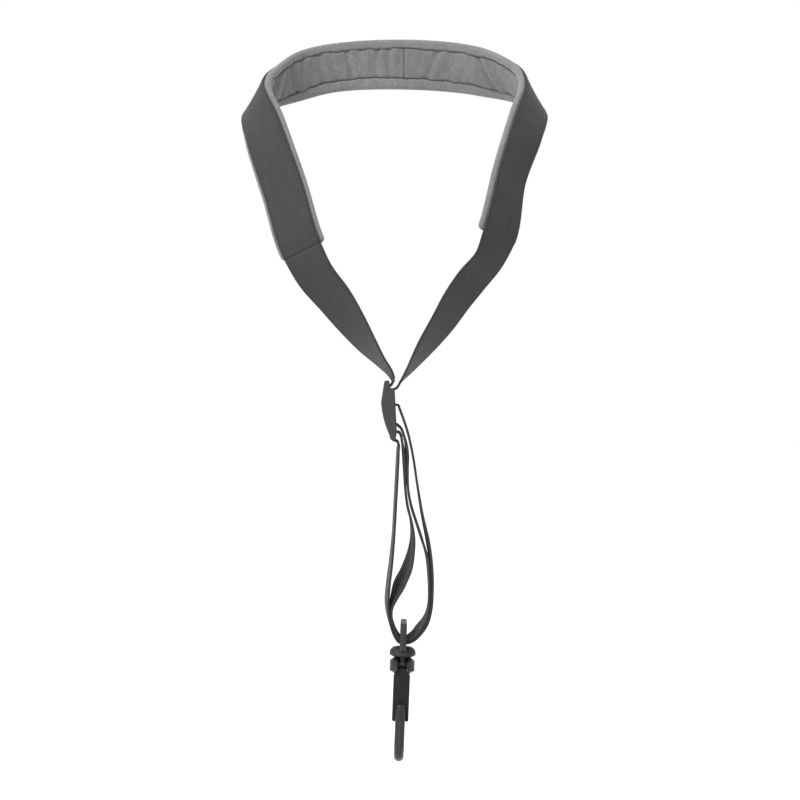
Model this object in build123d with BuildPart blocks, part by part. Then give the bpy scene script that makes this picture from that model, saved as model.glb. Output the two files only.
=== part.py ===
"""Saxophone neck strap: padded neck band, webbing, height adjuster and swivel snap hook.

The origin is the middle of the pad's inner face at the back of the neck.  +Z is up, the wearer
looks along -Y, and all lengths are in millimetres.
"""

from build123d import *
from math import cos, dist, pi, radians, sin
import os

# ------------------------------------------------------------------ driving dimensions
WEBBING_WIDTH = 25.4
WEBBING_THICKNESS = 1.5
PAD_WIDTH = 29.6  # at its ends
BACK_WIDENING = 1.3  # of each edge at the back of the neck
PAD_THICKNESS = 4.4
FABRIC_THICKNESS = 0.6
LAYER_GAP = 0.04  # between sewn layers
SPANS = 5  # straight facets from one point of the route to the next

STITCH_WIDTH = 0.6
STITCH_HEIGHT = 0.25
STITCH_INSET = 2.0  # row of stitches from the webbing's edge
END_ROWS = (2.1, 5.7)  # rows of stitches across the webbing, from the pad's end
END_ROW_SHORT = 1.0  # from the edge stitching to the end of such a row
END_ROW_RISE = 0.4  # above the edge stitching, since the webbing still bends there
SEAM_MARGIN = 3.0  # from the pad's core to the end of its centre seam

FRONT_Y = -90.0  # plane that the adjuster and the hook hang in

ADJUSTER_X, ADJUSTER_Z = -6.5, -222.0
CHEEK_THICKNESS = 2.2
CHEEK_GAP = 27.0  # between the cheeks
CHEEK_CORNER = 0.7
CHEEK_BEVEL = 0.65
BAR_SEAT = 0.5  # depth of the bars' ends in the cheeks

HOOK_X, HOOK_Z = 1.1, -379.5  # bottom of the hook's head, on the swivel axis
HOOK_TILT = 2.2  # degrees, foot towards -X

STEM_RADIUS = 2.9
SWIVEL_CLEARANCE = 0.08
HEAD_RADIUS = 7.5
HEAD_HEIGHT = 10.3
HEAD_BEVEL_WIDTH, HEAD_BEVEL_HEIGHT = 2.9, 2.3
BUTTON_RADIUS = 4.2
BUTTON_BOTTOM, BUTTON_TOP = 5.3, 7.4
BUTTON_BEVEL = 0.6
BUTTON_ROOM = 0.2  # above and below the button in its chamber

FLANGE_RADIUS = 7.8
FLANGE_BOTTOM, FLANGE_RIM, FLANGE_TOP = 10.6, 13.1, 16.8
FLANGE_FOOT = 6.2  # radius of its flat underside
FLANGE_EDGE = 1.0  # height of the slope under its rim
FLANGE_SHOULDER = 6.6, 1.4  # radius there, and its depth below the top
FLANGE_CROWN = 4.2, 0.4  # radius of the nearly level top, and its fall
EYE_THICKNESS = 3.8
EYE_TOP = 31.4
EYE_BAR_HEIGHT = 8.4
EYE_WINDOW = 27.0
EYE_LEG = 3.2
EYE_ROUNDING = 1.2
EYE_CORNER = 3.0  # radius of the loop's top corners
EYE_SHOULDER = 1.1  # height of the legs' feet above the flange
EYE_BEND = 2.2  # size of the bevel where a leg turns in
EYE_BEND_RADIUS = 1.0
EYE_FOOT, EYE_WINDOW_FOOT = 6.5, 6.0  # half widths of the loop's foot, outside and inside

THROAT_RADIUS = 5.5
SPINE_ROOT = 4.6, 7.0  # start of the spine inside the head, back and up
SPINE_TURN_Z = -1.5
SPINE_RADIUS = 8.0
HOOK_DEPTH = 5.2  # of the bend, seen from the side
HOOK_WIDTH = 5.9
THROAT_LAND = 0.4  # what is cut off the round section to leave a level land in the throat
THROAT_CUT_TOP = -5.0
BEND_Z = -41.6  # centre of the bend below the head
TIP_TOP = -16.9
TIP_TAPER = 10.0  # length over which the tip thins
TIP_WIDTH, TIP_DEPTH = 4.2, 4.2
TIP_ROUNDING = 1.4

GATE_WIDTH = 9.8
GATE_THICKNESS = 2.2
GATE_FRONT = -5.3
GATE_TOP, GATE_BOTTOM = 0.1, -27.7
GATE_CORNER = 1.1
GATE_BEVEL = 0.4
NECK_REACH = 1.0  # of the knuckle's neck down into the plate
PIN_Y, PIN_Z = -3.4, 2.6
PIN_RADIUS = 0.8
PIN_HALF = 5.3
KNUCKLE_RADIUS = 1.5
KNUCKLE_HALF = 4.2  # half the width of the knuckle
POCKET_GAP = 0.25  # round the knuckle in the head
SPRING_ROOM = 2.7, 4.2  # part of the knuckle's width that is cut away for the spring
WIRE = 0.4  # spring wire
SPRING_LEG_Z = -6.5  # foot of the spring's leg behind the gate

# ------------------------------------------------------------------ routes
# Each row is a point on the middle of the webbing and the direction across it.
LEFT_RUN = [
    (-4.0, -90.0, -203.7, 0.06, -1.00, 0.00),
    (-5.3, -90.0, -200.9, 0.09, -0.99, 0.05),
    (-11.6, -90.3, -193.0, 0.19, -0.97, 0.13),
    (-18.8, -90.6, -184.0, 0.36, -0.90, 0.25),
    (-28.2, -91.2, -171.0, 0.55, -0.75, 0.38),
    (-39.3, -92.5, -155.5, 0.72, -0.55, 0.45),
    (-50.5, -93.6, -141.6, 0.83, -0.42, 0.42),
]
BAND = [
    (-57.9, -93.6, -127.6, 0.89, -0.28, 0.36),
    (-70.4, -81.7, -89.0, 0.91, -0.22, 0.36),
    (-84.3, -64.4, -49.5, 0.82, -0.34, 0.48),
    (-91.0, -44.9, -30.0, 0.54, -0.52, 0.66),
    (-81.8, -19.5, -17.4, 0.05, -0.70, 0.71),
    (-56.0, -1.7, -5.7, -0.20, -0.11, 0.97),
    (0.0, 5.15, 0.0, 0.00, 0.00, 1.00),
    (51.1, -0.8, -4.6, 0.16, -0.36, 0.92),
    (74.4, -18.5, -13.8, -0.02, -0.77, 0.64),
    (84.5, -44.9, -29.6, -0.54, -0.53, 0.65),
    (79.2, -63.9, -47.0, -0.64, -0.52, 0.56),
    (68.6, -79.9, -78.5, -0.62, -0.68, 0.39),
    (58.7, -92.0, -119.4, -0.72, -0.59, 0.36),
]
RIGHT_RUN = [
    (52.5, -93.2, -133.0, -0.64, -0.72, 0.30),
    (42.7, -93.2, -144.7, -0.62, -0.70, 0.36),
    (35.0, -92.6, -155.0, -0.57, -0.74, 0.36),
    (25.4, -91.5, -170.0, -0.45, -0.82, 0.33),
    (14.4, -90.5, -185.5, -0.30, -0.93, 0.22),
    (4.9, -90.0, -199.0, -0.10, -0.99, 0.05),
    (0.2, -90.0, -205.2, 0.00, -1.00, 0.00),
    (-1.6, -90.0, -208.0, 0.00, -1.00, 0.00),
]
OUTER_BIGHT = [
    (-7.2, -90.0, -344.0, 0.05, -1.00, 0.00),
    (-5.6, -90.0, -350.2, 0.03, -1.00, 0.00),
    (-3.4, -90.0, -355.8, 0.02, -1.00, 0.00),
    (-0.3, -90.0, -359.6, 0.00, -1.00, 0.00),
    (3.6, -90.0, -360.0, 0.00, -1.00, 0.00),
    (7.9, -90.0, -358.0, 0.00, -1.00, -0.05),
    (12.2, -90.0, -353.4, 0.02, -1.00, -0.09),
    (16.2, -90.0, -347.8, 0.02, -1.00, -0.04),
    (18.4, -90.0, -341.0, 0.00, -1.00, 0.00),
]
RIGHT_OUTER_STRAND = [
    (-1.1, -90.0, -218.9, 0.00, -1.00, 0.00),
    (-0.4, -90.0, -220.6, 0.00, -1.00, 0.00),
    (1.4, -90.0, -225.4, 0.00, -1.00, 0.00),
    (4.4, -90.0, -234.4, 0.00, -1.00, 0.00),
    (7.0, -90.0, -245.5, 0.00, -1.00, 0.00),
    (10.6, -90.0, -268.2, 0.00, -1.00, 0.00),
    (13.3, -90.0, -284.6, 0.02, -1.00, 0.00),
    (16.6, -90.0, -300.1, 0.05, -1.00, 0.00),
    (19.0, -90.0, -318.1, 0.02, -1.00, 0.00),
    (19.3, -90.0, -330.6, 0.00, -1.00, 0.00),
    (18.6, -90.0, -340.5, 0.00, -1.00, 0.00),
]
RIGHT_INNER_STRAND = [
    (-1.2, -90.0, -231.0, 0.00, -1.00, 0.00),
    (0.5, -90.0, -232.6, 0.00, -1.00, 0.00),
    (2.1, -90.0, -236.4, 0.00, -1.00, 0.00),
    (3.6, -90.0, -242.0, 0.02, -1.00, 0.00),
    (4.2, -90.0, -248.0, 0.04, -1.00, 0.00),
    (4.3, -90.0, -257.0, 0.02, -1.00, 0.00),
    (5.0, -90.0, -270.5, 0.00, -1.00, 0.00),
    (6.5, -90.0, -278.4, 0.00, -1.00, 0.00),
    (10.1, -90.0, -290.0, 0.00, -1.00, 0.00),
    (13.4, -90.0, -300.1, 0.00, -1.00, 0.00),
    (16.2, -90.0, -310.0, 0.03, -1.00, 0.00),
    (17.2, -90.0, -320.0, 0.02, -1.00, 0.00),
    (17.5, -90.0, -330.6, 0.00, -1.00, 0.00),
    (16.9, -90.0, -340.3, 0.00, -1.00, 0.00),
]
LEFT_INNER_STRAND = [
    (-0.8, -90.0, -235.0, 0.00, -1.00, 0.00),
    (0.3, -90.0, -236.4, 0.00, -1.00, 0.00),
    (1.2, -90.0, -240.4, 0.00, -1.00, 0.00),
    (2.1, -90.0, -247.2, 0.03, -1.00, 0.00),
    (2.6, -90.0, -257.0, 0.02, -1.00, 0.00),
    (3.3, -90.0, -270.6, 0.00, -1.00, 0.00),
    (4.5, -90.0, -279.4, 0.00, -1.00, 0.00),
    (6.6, -90.0, -288.0, 0.02, -1.00, 0.00),
    (7.6, -90.0, -298.0, 0.07, -1.00, 0.00),
    (6.6, -90.0, -307.0, 0.14, -0.99, 0.05),
    (3.7, -90.0, -317.5, 0.26, -0.96, 0.10),
    (-0.4, -90.0, -326.0, 0.30, -0.95, 0.10),
    (-3.5, -90.0, -333.5, 0.16, -0.98, 0.05),
    (-5.4, -90.0, -339.5, 0.06, -1.00, 0.00),
    (-5.75, -90.0, -341.8, 0.05, -1.00, 0.00),
]
LEFT_OUTER_STRAND = [
    (-1.8, -90.0, -240.4, 0.00, -1.00, 0.00),
    (-1.1, -90.0, -241.5, 0.01, -1.00, 0.00),
    (-1.2, -90.0, -246.0, 0.03, -1.00, 0.00),
    (-1.8, -90.0, -258.9, 0.04, -1.00, 0.00),
    (-2.8, -90.0, -277.4, 0.04, -1.00, 0.00),
    (-3.9, -90.0, -297.0, 0.04, -1.00, 0.00),
    (-5.5, -90.0, -314.0, 0.06, -1.00, 0.00),
    (-7.1, -90.0, -327.0, 0.07, -1.00, 0.00),
    (-7.8, -90.0, -337.0, 0.07, -1.00, 0.00),
    (-7.45, -90.0, -343.0, 0.05, -1.00, 0.00),
]


# ------------------------------------------------------------------ helpers
def smooth(points, spans=SPANS):
    """Rows of a smooth curve through the points, with equal steps between each two."""
    gaps = [dist(a[:3], b[:3]) for a, b in zip(points, points[1:])]
    slopes = [[(q - p) / gap for p, q in zip(a, b)] for a, b, gap in zip(points, points[1:], gaps)]
    inner = [
        [(s * after + r * before) / (before + after) for s, r in zip(first, second)]
        for first, second, before, after in zip(slopes, slopes[1:], gaps, gaps[1:])
    ]
    tangents = [slopes[0], *inner, slopes[-1]]
    rows = []
    for a, b, start, end, gap in zip(points, points[1:], tangents, tangents[1:], gaps):
        for step in range(spans):
            t = step / spans
            rows.append([
                p * (1 - t) ** 2 * (1 + 2 * t)
                + q * t * t * (3 - 2 * t)
                + gap * (s * t * (1 - t) ** 2 - r * t * t * (1 - t))
                for p, q, s, r in zip(a, b, start, end)
            ])
    return [*rows, list(points[-1])]


def stations(rows):
    """A plane at each row: x runs across the webbing and y out of its outer face."""
    planes = []
    for index, row in enumerate(rows):
        before = Vector(*rows[max(index - 1, 0)][:3])
        after = Vector(*rows[min(index + 1, len(rows) - 1)][:3])
        planes.append(Plane(Vector(*row[:3]), x_dir=Vector(*row[3:]), z_dir=before - after))
    return planes


def strip(planes, low, high, inner, outer, widening=None):
    """Loft a rectangle, low..high across the webbing and inner..outer through it.

    Widening is what each edge adds at each plane.
    """
    sections = []
    for plane, extra in zip(planes, widening or [0.0] * len(planes)):
        with BuildSketch(plane) as section:
            with Locations(((low + high) / 2, (inner + outer) / 2)):
                Rectangle(high - low + 2 * extra, outer - inner)
        sections.append(section.sketch)
    loft(sections, ruled=True)


def webbing(planes, depth=0.0):
    """Loft full-width webbing, its middle at a depth off the route."""
    half = WEBBING_THICKNESS / 2
    strip(planes, -WEBBING_WIDTH / 2, WEBBING_WIDTH / 2, depth - half, depth + half)


def finish(part, name):
    """Label a piece and write its file."""
    part.label = name
    export_step(part, f"parts/{name}.step")


os.makedirs("parts", exist_ok=True)

# ------------------------------------------------------------------ route of the neck band
route = stations(smooth(LEFT_RUN + BAND + RIGHT_RUN))
band_start = SPANS * len(LEFT_RUN)
band_end = band_start + SPANS * (len(BAND) - 1)
band_planes = route[band_start:band_end + 1]
back = len(band_planes) // 2
# The pad is widest at the back and has its end width from halfway round to the ends.
widening = [
    BACK_WIDENING * cos(pi / 2 * min(2 * abs(index - back) / back, 1)) ** 2
    for index in range(len(band_planes))
]

webbing_face = WEBBING_THICKNESS / 2
pad_outer = -webbing_face - LAYER_GAP
pad_inner = -webbing_face - PAD_THICKNESS
pad_edge = PAD_WIDTH / 2
core_edge = pad_edge - FABRIC_THICKNESS - LAYER_GAP
core_outer = pad_outer - FABRIC_THICKNESS - LAYER_GAP
core_inner = pad_inner + FABRIC_THICKNESS + LAYER_GAP

# ------------------------------------------------------------------ padded neck band
with BuildPart() as pad_foam:
    strip(band_planes, -core_edge, core_edge, core_inner, core_outer, widening)
finish(pad_foam.part, "pad_foam")

with BuildPart() as pad_cover:
    cover_sections = []
    for plane, extra in zip(band_planes, widening):
        edge = pad_edge + extra
        with BuildSketch(plane) as cover_section:
            with BuildLine():
                Polyline(
                    (-edge, pad_outer), (edge, pad_outer), (edge, pad_inner),
                    (edge - FABRIC_THICKNESS, pad_inner),
                    (edge - FABRIC_THICKNESS, pad_outer - FABRIC_THICKNESS),
                    (FABRIC_THICKNESS - edge, pad_outer - FABRIC_THICKNESS),
                    (FABRIC_THICKNESS - edge, pad_inner), (-edge, pad_inner), close=True,
                )
            make_face()
        cover_sections.append(cover_section.sketch)
    loft(cover_sections, ruled=True)
finish(pad_cover.part, "pad_cover")

lining_outer = pad_inner + FABRIC_THICKNESS
for side, half in (("left", slice(0, back + 1)), ("right", slice(back, None))):
    with BuildPart() as pad_lining:
        strip(band_planes[half], -core_edge, core_edge, pad_inner, lining_outer, widening[half])
    finish(pad_lining.part, f"pad_lining_{side}")

with BuildPart() as pad_centre_seam:
    seam_plane = band_planes[back]
    with BuildSketch(seam_plane.offset(-STITCH_WIDTH)) as seam:
        with Locations((0, pad_inner - STITCH_HEIGHT / 2 - LAYER_GAP)):
            Rectangle(2 * (core_edge - SEAM_MARGIN), STITCH_HEIGHT)
    extrude(amount=2 * STITCH_WIDTH)
finish(pad_centre_seam.part, "pad_centre_seam")

# ------------------------------------------------------------------ webbing and its stitching
with BuildPart() as band_webbing:
    webbing(band_planes)
finish(band_webbing.part, "band_webbing")

stitch_row = WEBBING_WIDTH / 2 - STITCH_INSET
stitch_low = webbing_face + LAYER_GAP
stitch_high = stitch_low + STITCH_HEIGHT
for name, row in (("lower_edge_stitching", -stitch_row), ("upper_edge_stitching", stitch_row)):
    with BuildPart() as edge_stitching:
        strip(band_planes, row - STITCH_WIDTH / 2, row + STITCH_WIDTH / 2, stitch_low, stitch_high)
    finish(edge_stitching.part, name)

for side, plane, inward in (("left", band_planes[0], -1), ("right", band_planes[-1], 1)):
    with BuildPart() as end_stitching:
        for row in END_ROWS:
            with BuildSketch(plane.offset(inward * row)):
                with Locations((0, stitch_high + END_ROW_RISE)):
                    Rectangle(2 * (stitch_row - END_ROW_SHORT), STITCH_HEIGHT)
            extrude(amount=STITCH_WIDTH)
    finish(end_stitching.part, f"{side}_end_stitching")

with BuildPart() as left_webbing_run:
    webbing(route[:band_start + 1])
finish(left_webbing_run.part, "left_webbing_run")

with BuildPart() as right_webbing_run:
    webbing(route[band_end:])
finish(right_webbing_run.part, "right_webbing_run")

# ------------------------------------------------------------------ height adjuster
adjuster_plane = Plane((ADJUSTER_X, FRONT_Y, ADJUSTER_Z), x_dir=(1, 0, 0), z_dir=(0, -1, 0))
# Centre and radius of each cross bar, from the top down.
ADJUSTER_BARS = [(-1.3, 16.3, 0.9), (1.4, 7.6, 1.45), (0.9, -1.2, 1.8), (3.0, -14.9, 1.1)]

with BuildPart() as adjuster_frame:
    for front in (1, -1):
        middle = front * (CHEEK_GAP + CHEEK_THICKNESS) / 2
        with BuildSketch(adjuster_plane.offset(middle)):
            with BuildLine():
                Polyline((-2.7, 17.4), (0.0, 17.8), (0.5, 13.3), (3.3, 13.0), (4.6, -13.0),
                         (3.9, -17.6), (1.8, -17.8))
                ThreePointArc((1.8, -17.8), (-3.4, -4.0), (-4.7, 5.0))
                Line((-4.7, 5.0), (-2.7, 17.4))
            make_face()
            fillet(vertices(), radius=CHEEK_CORNER)
        extrude(amount=CHEEK_THICKNESS / 2, both=True)
    outer_rims = faces().group_by(Axis.Y)
    for rim in (outer_rims[0], outer_rims[-1]):
        chamfer(rim.edges(), length=CHEEK_BEVEL)
    with BuildSketch(adjuster_plane):
        for bar_x, bar_z, bar_radius in ADJUSTER_BARS:
            with Locations((bar_x, bar_z)):
                Circle(bar_radius)
    extrude(amount=CHEEK_GAP / 2 + BAR_SEAT, both=True)
finish(adjuster_frame.part, "adjuster_frame")

WEBBING_IN_ADJUSTER = {
    "left_webbing_pass": (
        [(2.2, 17.4), (1.6, 15.6), (-2.75, 12.0), (-2.75, -2.8), (1.2, -6.9), (5.0, -8.7)],
        [2.0, 3.0, 6.0, 4.0],
    ),
    "right_webbing_wrap": (
        [(4.45, 13.25), (-0.95, 10.9), (-0.95, 4.1), (4.6, 3.2)],
        [2.2, 2.2],
    ),
    "lower_webbing_wrap": (
        [(5.0, -12.9), (1.15, -12.4), (1.15, -17.0), (4.3, -18.2)],
        [1.8, 1.8],
    ),
}
for name, (corners, radii) in WEBBING_IN_ADJUSTER.items():
    with BuildPart() as adjuster_webbing:
        with BuildSketch(adjuster_plane):
            with BuildLine():
                FilletPolyline(*corners, radius=radii)
            trace(line_width=WEBBING_THICKNESS)
        extrude(amount=WEBBING_WIDTH / 2, both=True)
    finish(adjuster_webbing.part, name)

# ------------------------------------------------------------------ strands and bights
STRANDS = {
    "right_outer_strand": RIGHT_OUTER_STRAND,
    "right_inner_strand": RIGHT_INNER_STRAND,
    "left_inner_strand": LEFT_INNER_STRAND,
    "left_outer_strand": LEFT_OUTER_STRAND,
}
for name, points in STRANDS.items():
    with BuildPart() as strand:
        webbing(stations(smooth(points)))
    finish(strand.part, name)

bight_planes = stations(smooth(OUTER_BIGHT))
for name, depth in (("outer_bight", 0.0), ("inner_bight", WEBBING_THICKNESS + 3 * LAYER_GAP)):
    with BuildPart() as bight:
        webbing(bight_planes, depth)
    finish(bight.part, name)

# ------------------------------------------------------------------ swivel eye
tilt = radians(HOOK_TILT)
hook_origin = Vector(HOOK_X, FRONT_Y, HOOK_Z)
hook_up = Vector(sin(tilt), 0, cos(tilt))
hook_right = Vector(cos(tilt), 0, -sin(tilt))
hook_top = Plane(hook_origin, x_dir=hook_right, z_dir=hook_up)
hook_side = Plane(hook_origin, x_dir=(0, 1, 0), z_dir=hook_right)  # x back, y up
hook_front = Plane(hook_origin, x_dir=hook_right, z_dir=(0, -1, 0))  # x right, y up

with BuildPart() as swivel_eye:
    # Loop for the webbing: a long bar on two legs that close in on the flange.
    eye_half = EYE_WINDOW / 2 + EYE_LEG
    shoulder = FLANGE_TOP + EYE_SHOULDER
    eye_pivot = EYE_TOP - EYE_BAR_HEIGHT + EYE_THICKNESS / 2
    with BuildSketch(hook_side):
        with BuildLine():
            Polyline(
                (-EYE_FOOT, FLANGE_RIM), (EYE_FOOT, FLANGE_RIM),
                (eye_half - EYE_BEND, shoulder - EYE_BEND),
                (eye_half, shoulder), (eye_half, EYE_TOP), (-eye_half, EYE_TOP),
                (-eye_half, shoulder), (EYE_BEND - eye_half, shoulder - EYE_BEND), close=True,
            )
        make_face()
        with BuildLine():
            Polyline(
                (-EYE_WINDOW_FOOT, FLANGE_TOP), (EYE_WINDOW_FOOT, FLANGE_TOP),
                (EYE_WINDOW / 2, shoulder),
                (EYE_WINDOW / 2, eye_pivot), (-EYE_WINDOW / 2, eye_pivot),
                (-EYE_WINDOW / 2, shoulder), close=True,
            )
        make_face(mode=Mode.SUBTRACT)
        fillet(vertices().group_by(Axis.Y)[-1], radius=EYE_CORNER)
        bends = vertices().filter_by(lambda v: FLANGE_RIM < v.Y - 1 and v.Y < eye_pivot)
        fillet(bends, radius=EYE_BEND_RADIUS)
    extrude(amount=EYE_THICKNESS / 2, both=True)
    eye_faces = faces().filter_by(Plane(origin=(0, 0, 0), z_dir=hook_right))
    fillet(eye_faces.edges(), radius=EYE_ROUNDING)
    # Round underside of the bar, which rolls on the webbing.
    bar_middle = hook_side.from_local_coords((0, eye_pivot, 0))
    with BuildSketch(Plane(bar_middle, x_dir=hook_right, z_dir=(0, -1, 0))):
        Circle(EYE_THICKNESS / 2)
    extrude(amount=EYE_WINDOW / 2 + BAR_SEAT, both=True)
    # Domed flange, stem and the button that holds the stem in the hook's head.
    shoulder_point = (FLANGE_SHOULDER[0], FLANGE_TOP - FLANGE_SHOULDER[1])
    crown_point = (FLANGE_CROWN[0], FLANGE_TOP - FLANGE_CROWN[1])
    with BuildSketch(hook_front):
        with BuildLine():
            Polyline(
                (0, FLANGE_TOP), (0, BUTTON_BOTTOM), (BUTTON_RADIUS - BUTTON_BEVEL, BUTTON_BOTTOM),
                (BUTTON_RADIUS, BUTTON_BOTTOM + BUTTON_BEVEL), (BUTTON_RADIUS, BUTTON_TOP),
                (STEM_RADIUS, BUTTON_TOP), (STEM_RADIUS, FLANGE_BOTTOM),
                (FLANGE_FOOT, FLANGE_BOTTOM), (FLANGE_RADIUS, FLANGE_BOTTOM + FLANGE_EDGE),
                (FLANGE_RADIUS, FLANGE_RIM),
            )
            ThreePointArc((FLANGE_RADIUS, FLANGE_RIM), shoulder_point, crown_point)
            Line(crown_point, (0, FLANGE_TOP))
        make_face()
    revolve(axis=Axis(hook_origin, hook_up))
finish(swivel_eye.part, "swivel_eye")

# ------------------------------------------------------------------ snap hook
pin_back = PIN_Y + KNUCKLE_RADIUS
pocket_front = PIN_Y - KNUCKLE_RADIUS - POCKET_GAP
pocket_back = pin_back + 3 * WIRE
pocket_top = PIN_Z + KNUCKLE_RADIUS + POCKET_GAP
slot_half = STEM_RADIUS + SWIVEL_CLEARANCE
bend_middle = THROAT_RADIUS + (HOOK_DEPTH - THROAT_LAND) / 2
section_depth = HOOK_DEPTH + THROAT_LAND

with BuildPart() as hook_body:
    # Spine and bend, round in section, then the tip that thins upwards.
    with BuildLine(hook_side) as hook_path:
        FilletPolyline(SPINE_ROOT, (bend_middle, SPINE_TURN_Z), (bend_middle, BEND_Z),
                       radius=SPINE_RADIUS)
        ThreePointArc((bend_middle, BEND_Z), (0, BEND_Z - bend_middle), (-bend_middle, BEND_Z))
        Line((-bend_middle, BEND_Z), (-bend_middle, TIP_TOP - TIP_TAPER))
    path = hook_path.wire()
    with BuildSketch(Plane(path @ 0, x_dir=hook_right, z_dir=path % 0)):
        Ellipse(HOOK_WIDTH / 2, section_depth / 2)
    sweep(path=path)
    tip_foot = hook_top.offset(TIP_TOP - TIP_TAPER)
    with BuildSketch(tip_foot):
        with Locations((0, -bend_middle)):
            Ellipse(HOOK_WIDTH / 2, section_depth / 2)
    with BuildSketch(tip_foot.offset(TIP_TAPER)):
        with Locations((0, -THROAT_RADIUS - TIP_DEPTH / 2)):
            Ellipse(TIP_WIDTH / 2, TIP_DEPTH / 2)
    loft()
    tip_plane = Plane(hook_top.from_local_coords((0, -bend_middle, TIP_TOP)), z_dir=hook_up)
    tip_rim = edges().sort_by_distance(tip_plane.origin)[0]
    fillet(tip_rim, radius=TIP_ROUNDING)
    with BuildSketch(hook_side):
        with Locations((0, BEND_Z)):
            Circle(THROAT_RADIUS)
        with Locations((0, (THROAT_CUT_TOP + BEND_Z) / 2)):
            Rectangle(2 * THROAT_RADIUS, THROAT_CUT_TOP - BEND_Z)
    extrude(amount=HOOK_WIDTH, both=True, mode=Mode.SUBTRACT)
    # Head, a knob with wide bevels.
    with BuildSketch(hook_front):
        Polygon(
            (0, 0), (HEAD_RADIUS - HEAD_BEVEL_WIDTH, 0), (HEAD_RADIUS, HEAD_BEVEL_HEIGHT),
            (HEAD_RADIUS, HEAD_HEIGHT - HEAD_BEVEL_HEIGHT),
            (HEAD_RADIUS - HEAD_BEVEL_WIDTH, HEAD_HEIGHT), (0, HEAD_HEIGHT), align=None,
        )
    revolve(axis=Axis(hook_origin, hook_up))
    # Chamber and bore for the swivel stem, and the slot that it snaps in through.
    with BuildSketch(hook_top.offset(BUTTON_BOTTOM - BUTTON_ROOM)):
        Circle(BUTTON_RADIUS + SWIVEL_CLEARANCE)
    extrude(amount=BUTTON_TOP - BUTTON_BOTTOM + 2 * BUTTON_ROOM, mode=Mode.SUBTRACT)
    with BuildSketch(hook_top.offset(BUTTON_BOTTOM)):
        Circle(slot_half)
    extrude(amount=HEAD_HEIGHT, mode=Mode.SUBTRACT)
    with BuildSketch(hook_top):
        with Locations((0, -HEAD_RADIUS / 2)):
            Rectangle(2 * slot_half, HEAD_RADIUS)
    extrude(amount=HEAD_HEIGHT, mode=Mode.SUBTRACT)
    # Pocket for the gate's knuckle and the holes of its pin.
    with BuildSketch(hook_top):
        with Locations((0, (pocket_back + pocket_front) / 2)):
            Rectangle(2 * (KNUCKLE_HALF + POCKET_GAP), pocket_back - pocket_front)
    extrude(amount=pocket_top, mode=Mode.SUBTRACT)
    with BuildSketch(hook_side):
        with Locations((PIN_Y, PIN_Z)):
            Circle(PIN_RADIUS)
    extrude(amount=HEAD_RADIUS, both=True, mode=Mode.SUBTRACT)
finish(hook_body.part, "hook_body")

with BuildPart() as gate_pin:
    with BuildSketch(hook_side):
        with Locations((PIN_Y, PIN_Z)):
            Circle(PIN_RADIUS)
    extrude(amount=PIN_HALF, both=True)
finish(gate_pin.part, "gate_pin")

# ------------------------------------------------------------------ gate and its spring
gate_back = GATE_FRONT + GATE_THICKNESS
spring_middle = sum(SPRING_ROOM) / 2
spring_half = (SPRING_ROOM[1] - SPRING_ROOM[0]) / 2
with BuildPart() as gate:
    # Plate, with its round foot corners.
    with BuildSketch(hook_front.offset(-GATE_FRONT)):
        with Locations((0, (GATE_TOP + GATE_BOTTOM) / 2)):
            Rectangle(GATE_WIDTH, GATE_TOP - GATE_BOTTOM)
        fillet(vertices().group_by(Axis.Y)[0], radius=GATE_CORNER)
    extrude(amount=-GATE_THICKNESS)
    chamfer(faces().group_by(Axis.Y)[0].edges(), length=GATE_BEVEL)
    # Knuckle on a neck that goes up into the head.
    with BuildSketch(hook_side):
        with Locations((PIN_Y, PIN_Z)):
            Circle(KNUCKLE_RADIUS)
        Polygon(
            (gate_back, PIN_Z), (gate_back, GATE_TOP - NECK_REACH),
            (GATE_FRONT + GATE_BEVEL, GATE_TOP - NECK_REACH), (PIN_Y - KNUCKLE_RADIUS, PIN_Z),
            align=None,
        )
    extrude(amount=KNUCKLE_HALF, both=True)
    # Room for the spring, and the bore for the pin.
    with BuildSketch(hook_side.offset(spring_middle)):
        with Locations((PIN_Y, PIN_Z)):
            Circle(KNUCKLE_RADIUS + 2 * WIRE)
    extrude(amount=spring_half, both=True, mode=Mode.SUBTRACT)
    with BuildSketch(hook_side):
        with Locations((PIN_Y, PIN_Z)):
            Circle(PIN_RADIUS + SWIVEL_CLEARANCE)
    extrude(amount=GATE_WIDTH, both=True, mode=Mode.SUBTRACT)
finish(gate.part, "gate")

with BuildPart() as gate_spring:
    # Coil round the pin, with a leg down behind the gate.
    with BuildSketch(hook_side.offset(spring_middle)):
        with Locations((PIN_Y, PIN_Z)):
            Circle(PIN_RADIUS + SWIVEL_CLEARANCE + WIRE)
            Circle(PIN_RADIUS + SWIVEL_CLEARANCE, mode=Mode.SUBTRACT)
    extrude(amount=spring_half - WIRE / 2, both=True)
    with BuildSketch(hook_side.offset(spring_middle)):
        with BuildLine():
            leg_y = gate_back + WIRE
            Polyline((PIN_Y + PIN_RADIUS + WIRE, PIN_Z + WIRE), (leg_y, 0), (leg_y, SPRING_LEG_Z))
        trace(line_width=WIRE)
    extrude(amount=WIRE / 2, both=True)
finish(gate_spring.part, "gate_spring")
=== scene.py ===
"""Looks of a saxophone neck strap: webbing, padded neck band, stitching, plastic fittings, light.

Shapes are worked out in millimetres and become metres where a mesh is made.
"""

from math import cos, pi, radians, sin

import bmesh
import bpy
import numpy as np
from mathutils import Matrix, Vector, noise


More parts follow.
